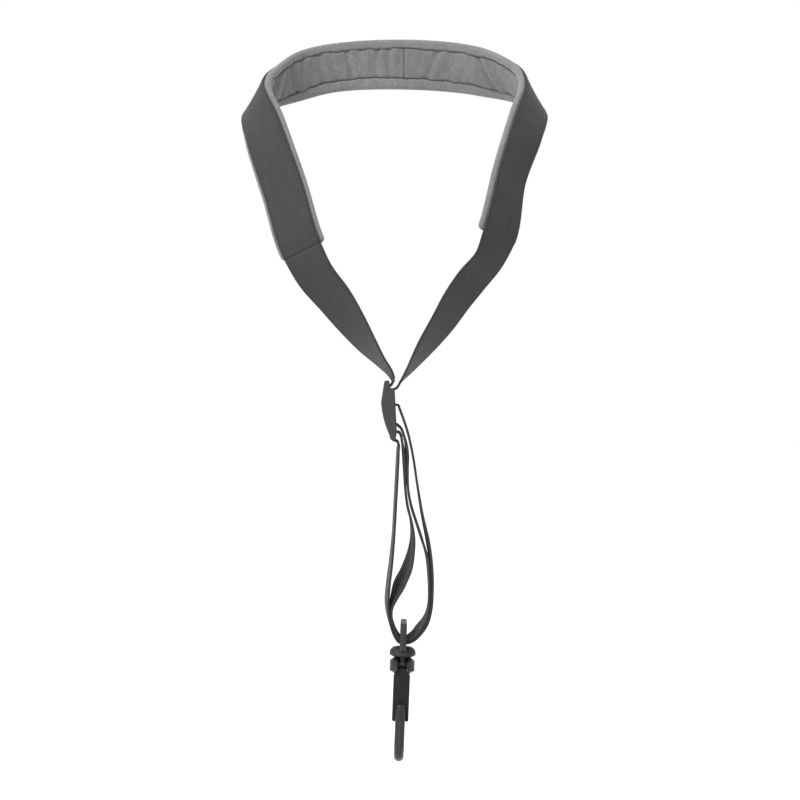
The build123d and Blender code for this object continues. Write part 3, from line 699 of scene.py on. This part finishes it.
class Look:
    """A material being built: each call adds a node, links sockets and sets plain values."""

    def __init__(self, name, slot, values):
        self.slot = slot
        self.material = bpy.data.materials.new(name)
        self.material.use_nodes = True
        self.tree = self.material.node_tree
        self.shader = self.tree.nodes["Principled BSDF"]
        self.put(self.shader, values)

    def put(self, node, values):
        """Links a node's inputs to sockets, or sets them."""
        for key, value in values.items():
            if isinstance(value, bpy.types.NodeSocket):
                self.tree.links.new(value, node.inputs[key])
            else:
                node.inputs[key].default_value = value

    def finish(self, colour, roughness, normal):
        """Joins the worked-out colour, roughness and bump to the shader."""
        self.put(self.shader, {"Base Color": colour, "Roughness": roughness, "Normal": normal})
        return self

    def add(self, kind, values, output=0, **settings):
        node = self.tree.nodes.new("ShaderNode" + kind)
        for key, value in settings.items():
            setattr(node, key, value)
        self.put(node, values)
        return node.outputs[output]

    def math(self, operation, first, second=0.0):
        return self.add("Math", {0: first, 1: second}, operation=operation)

    def split(self, vector):
        """The first two numbers of a vector."""
        node = self.tree.nodes.new("ShaderNodeSeparateXYZ")
        self.put(node, {0: vector})
        return node.outputs[0], node.outputs[1]

    def mix(self, share, first, second):
        """A colour between two others."""
        node = self.tree.nodes.new("ShaderNodeMix")
        node.data_type = "RGBA"
        self.put(node, {0: share, 6: first, 7: second})
        return node.outputs[2]

    def between(self, value, low, high, to_low, to_high):
        """Stretches a value from one range to another, and keeps it inside."""
        return self.add(
            "MapRange", {0: value, 1: low, 2: high, 3: to_low, 4: to_high}
        )

    def noise(self, scale, detail=3.0, stretch=None, vector=None):
        if vector is None:
            vector = self.add("TexCoord", {}, "Object")
        if stretch:
            vector = self.add("Mapping", {"Vector": vector, "Scale": stretch})
        return self.add("TexNoise", {"Vector": vector, "Scale": scale, "Detail": detail})

    def bump(self, height, distance, under=None, strength=1.0):
        values = {"Height": height, "Distance": distance, "Strength": strength}
        if under is not None:
            values["Normal"] = under
        return self.add("Bump", values)


def webbing_material():
    """Nylon webbing: lengthwise ribs of slanting yarns that turn from rib to rib, with painted
    shade between the yarns and in the valleys between the ribs.
    """
    look = Look("black_webbing", "webbing", {"Sheen Weight": 0.08, "Sheen Roughness": 0.5,
                                            "Specular IOR Level": 0.3})
    cloth = look.add("UVMap", {}, uv_map="weave")
    across, along = look.split(cloth)
    rib = look.math("ADD", look.math("DIVIDE", across, WEBBING_WIDTH / RIBS), 0.5)
    number = look.math("FLOOR", rib)
    inside = look.math("SUBTRACT", look.math("SUBTRACT", rib, number), 0.5)
    parity = look.math("MODULO", look.math("ADD", number, 100), 2)
    slant = look.math("SUBTRACT", look.math("MULTIPLY", parity, 2), 1)
    lean = look.math("MULTIPLY", look.math("MULTIPLY", inside, slant), YARN_LEAN)
    phase = look.math("ADD", look.math("DIVIDE", along, YARN_PITCH), lean)
    wave = look.math("SINE", look.math("MULTIPLY", phase, 2 * pi))
    yarn = look.between(wave, -1.0, 1.0, 0.0, 1.0)
    valley = look.between(look.math("ABSOLUTE", inside), 0.28, 0.5, 0.0, 1.0)
    fibres = look.noise(1.0, 2.0, (9.0, 0.9, 1.0), cloth)
    streaks = look.noise(1.0, 3.0, (1.3, 0.07, 1.0), cloth)
    patches = look.noise(1.0, 2.0, (0.05, 0.02, 1.0), cloth)
    crowns = look.math("MULTIPLY", yarn, look.math("SUBTRACT", 1.0, valley))
    height = look.math("ADD", crowns, look.math("MULTIPLY", fibres, 0.8))
    # Painted shade: the colour is lighter on the yarns' crowns and darker in the gaps between
    # them; the fibres' tone varies at random.
    lit = look.math("ADD", look.math("MULTIPLY", yarn, 0.2), look.math("MULTIPLY", fibres, 0.8))
    # Painted shade: the valleys between the ribs are darkened in the colour.
    light = look.math("SUBTRACT", lit, look.math("MULTIPLY", valley, 0.2))
    light = look.math("ADD", light, look.between(patches, 0.3, 0.7, -0.12, 0.12))
    light = look.math("ADD", light, look.between(streaks, 0.3, 0.7, -0.3, 0.3))
    # The edges, outside the rows of stitches, are a little darker.
    margin = look.between(look.math("ABSOLUTE", across), *DARK_EDGE, 0.0, 0.5)
    light = look.math("SUBTRACT", light, margin)
    colour = look.mix(light, grey(0.015), grey(0.028, 0.01))
    rough = look.between(lit, 0.2, 0.8, 0.82, 0.68)
    return look.finish(colour, rough, look.bump(height, 0.00009))


def cover_material():
    """Soft brushed cloth of the pad's cover."""
    look = Look("grey_cover", "pad_felt", {"Sheen Weight": 0.2, "Sheen Roughness": 0.6,
                                          "Specular IOR Level": 0.2})
    nap = look.noise(2600.0, 4.0)
    tufts = look.noise(520.0, 3.0)
    patches = look.noise(45.0, 3.0)
    light = look.math("ADD", look.math("MULTIPLY", nap, 0.3), look.math("MULTIPLY", tufts, 0.4))
    light = look.math("ADD", light, look.math("MULTIPLY", patches, 0.3))
    colour = look.mix(look.between(light, 0.38, 0.62, 0.0, 1.0), grey(0.098), grey(0.150, 0.005))
    rough = look.between(nap, 0.3, 0.7, 0.80, 0.95)
    soft = look.bump(tufts, 0.0003)
    return look.finish(colour, rough, look.bump(nap, 0.00012, soft))


def lining_material():
    """Fine knit of the lining."""
    look = Look("grey_lining", "pad_lining", {"Sheen Weight": 0.2, "Sheen Roughness": 0.55,
                                              "Specular IOR Level": 0.25})
    nap = look.noise(3200.0, 4.0)
    streaks = look.noise(420.0, 3.0, (1.0, 1.0, 0.35))
    patches = look.noise(38.0, 3.0)
    grain = look.noise(950.0, 2.0, (0.6, 0.6, 1.0))
    light = look.math("ADD", look.math("MULTIPLY", nap, 0.2), look.math("MULTIPLY", streaks, 0.25))
    light = look.math("ADD", light, look.math("MULTIPLY", patches, 0.25))
    light = look.math("ADD", light, look.math("MULTIPLY", grain, 0.3))
    colour = look.mix(look.between(light, 0.38, 0.62, 0.0, 1.0), grey(0.082), grey(0.138, 0.005))
    rough = look.between(nap, 0.3, 0.7, 0.72, 0.9)
    soft = look.bump(streaks, 0.00022)
    return look.finish(colour, rough, look.bump(nap, 0.0001, soft))


def thread_material(name, slot, dark, light):
    """Twisted thread."""
    look = Look(name, slot, {"Sheen Weight": 0.2, "Specular IOR Level": 0.4})
    twist = look.noise(5200.0, 2.0, (1.0, 1.0, 0.6))
    long = look.noise(160.0, 2.0)
    tone = look.math("ADD", look.math("MULTIPLY", twist, 0.7), look.math("MULTIPLY", long, 0.3))
    colour = look.mix(look.between(tone, 0.3, 0.7, 0.0, 1.0), grey(dark), grey(light))
    rough = look.between(twist, 0.3, 0.7, 0.45, 0.65)
    return look.finish(colour, rough, look.bump(twist, 0.00012))


def plastic_material(name, slot, value, shine, gloss, grain=(1.0, 1.0, 1.0)):
    """Moulded plastic: fine texture, flow marks, painted highlights along sharp edges and rubbed
    patches.
    """
    look = Look(name, slot, {"Specular IOR Level": gloss})
    pits = look.noise(5200.0, 3.0)
    flow = look.noise(190.0, 3.0, grain)
    rubs = look.noise(60.0, 4.0)
    scratches = look.noise(900.0, 2.0, (1.0, 1.0, 0.05))
    geometry = look.tree.nodes.new("ShaderNodeNewGeometry")
    # Painted highlight: sharp edges are made lighter in the colour, more in some patches than in
    # others.
    edge = look.between(geometry.outputs["Pointiness"], 0.50, 0.58, 0.0, 1.0)
    edge_highlight = look.math("MULTIPLY", edge, look.between(rubs, 0.35, 0.65, 0.25, 1.0))
    streak = look.between(flow, 0.35, 0.65, 0.0, 1.0)
    base = look.mix(streak, grey(value * 0.85), grey(value * 1.2))
    colour = look.mix(look.math("MULTIPLY", edge_highlight, 0.4), base, grey(value * 2.4))
    rough = look.math("ADD", look.between(rubs, 0.3, 0.7, shine - 0.06, shine + 0.07),
                      look.between(scratches, 0.55, 0.75, 0.0, 0.10))
    soft = look.bump(flow, 0.00008)
    return look.finish(colour, rough, look.bump(pits, 0.00002, soft))


def steel_material():
    """Bright steel of the gate's pin and spring, drawn along its length."""
    look = Look("steel", "steel", {"Metallic": 1.0})
    drawn = look.noise(1500.0, 3.0, (0.15, 1.0, 1.0))
    marks = look.noise(300.0, 3.0)
    colour = look.mix(look.between(marks, 0.3, 0.7, 0.0, 1.0), grey(0.42), grey(0.58, 0.01))
    rough = look.between(drawn, 0.3, 0.7, 0.26, 0.42)
    return look.finish(colour, rough, look.bump(drawn, 0.00003))


def dress(obj, look):
    """Gives an object a look."""
    obj.data.materials.clear()
    obj.data.materials.append(look.material)


webbing_look = webbing_material()
cover_look = cover_material()
lining_look = lining_material()
thread_look = thread_material("dark_thread", "thread", 0.014, 0.024)
lining_thread_look = thread_material("lining_thread", "lining_thread", 0.008, 0.02)
steel_look = steel_material()
adjuster_look = plastic_material(
    "adjuster_plastic", "adjuster_plastic", 0.019, 0.5, 0.30, grain=(3.0, 3.0, 0.25)
)
eye_look = plastic_material("eye_plastic", "eye_plastic", 0.016, 0.48, 0.25)
hook_look = plastic_material(
    "hook_plastic", "hook_plastic", 0.009, 0.28, 0.32, grain=(1.0, 1.0, 0.4)
)
gate_look = plastic_material(
    "gate_plastic", "gate_plastic", 0.010, 0.7, 0.10, grain=(1.0, 1.0, 0.4)
)

# ------------------------------------------------------------------ build
BODIES = {
    "left_webbing_run": ("neck_band", "adjuster"),
    "band_webbing": ("neck_band", None),
    "right_webbing_run": ("neck_band", "adjuster"),
    "right_webbing_wrap": ("adjuster", None),
    "right_outer_strand": ("adjuster", "webbing_loop"),
    "outer_bight": ("webbing_loop", None),
    "left_outer_strand": ("adjuster", "webbing_loop"),
    "lower_webbing_wrap": ("adjuster", None),
    "left_inner_strand": ("adjuster", "webbing_loop"),
    "inner_bight": ("webbing_loop", None),
    "right_inner_strand": ("adjuster", "webbing_loop"),
    "left_webbing_pass": ("adjuster", None),
}

padded_band()
split = band_middle + LINING_SPLIT
lining("left", LINING_END, split - SPLIT_GAP)
lining("right", split + SPLIT_GAP, band.length - LINING_END)
band_threads = outer_stitching()
inner_stitching()
for name, (body, to) in BODIES.items():
    piece = webbing(name, body, to)
gate_spring()
for node, look in (
    ("adjuster_frame", adjuster_look),
    ("swivel_eye", eye_look),
    ("hook_body", hook_look),
    ("gate", gate_look),
    ("gate_pin", steel_look),
):
    dress(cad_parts[node], look)

# ------------------------------------------------------------------ floor, light and camera
FLOOR_Z = -0.62


def floor():
    """A plain pale floor under the hanging strap."""
    bpy.ops.mesh.primitive_plane_add(size=30, location=(0, 0, FLOOR_Z))
    plane = bpy.context.object
    plane.name = "floor"
    look = Look("floor", None, {"Specular IOR Level": 0.1})
    cloud = look.noise(0.8, 2.0)
    colour = look.mix(cloud, grey(0.94), grey(0.97))
    look.put(look.shader, {"Base Color": colour, "Roughness": 0.9})
    look.put(look.shader, {"Emission Color": grey(1.0), "Emission Strength": 0.15})
    plane.data.materials.append(look.material)


def soft_light(name, place, aim, size, power):
    """A square area light that faces a point."""
    data = bpy.data.lights.new(name, "AREA")
    data.size = size
    data.energy = power
    lamp = bpy.data.objects.new(name, data)
    lamp.location = place
    lamp.rotation_euler = (Vector(aim) - Vector(place)).to_track_quat("-Z", "Y").to_euler()
    bpy.context.scene.collection.objects.link(lamp)


def sky(value):
    """An even white surrounding."""
    world = bpy.data.worlds.new("studio")
    world.use_nodes = True
    background = world.node_tree.nodes["Background"]
    background.inputs["Color"].default_value = (1, 1, 1, 1)
    background.inputs["Strength"].default_value = value
    bpy.context.scene.world = world


CAMERA = (0.0, -1.285, -0.2159)
LENS = 90.0


def camera():
    """Level with the middle of the strap and square to its front."""
    data = bpy.data.cameras.new("camera")
    data.lens = LENS
    data.sensor_width = 36.0
    obj = bpy.data.objects.new("camera", data)
    obj.location = CAMERA
    obj.rotation_euler = (pi / 2, 0, 0)
    bpy.context.scene.collection.objects.link(obj)
    bpy.context.scene.camera = obj
    bpy.context.scene.view_settings.view_transform = "Standard"


floor()
sky(1.0)
soft_light("top", (-0.3, -0.5, 1.0), (0, -0.05, -0.2), 1.0, 14.0)
soft_light("front_left", (-1.1, -1.2, 0.3), (0, -0.05, -0.25), 0.5, 14.0)
soft_light("low_front", (-0.12, -1.5, -0.55), (0, -0.09, -0.42), 0.12, 1.0)
camera()
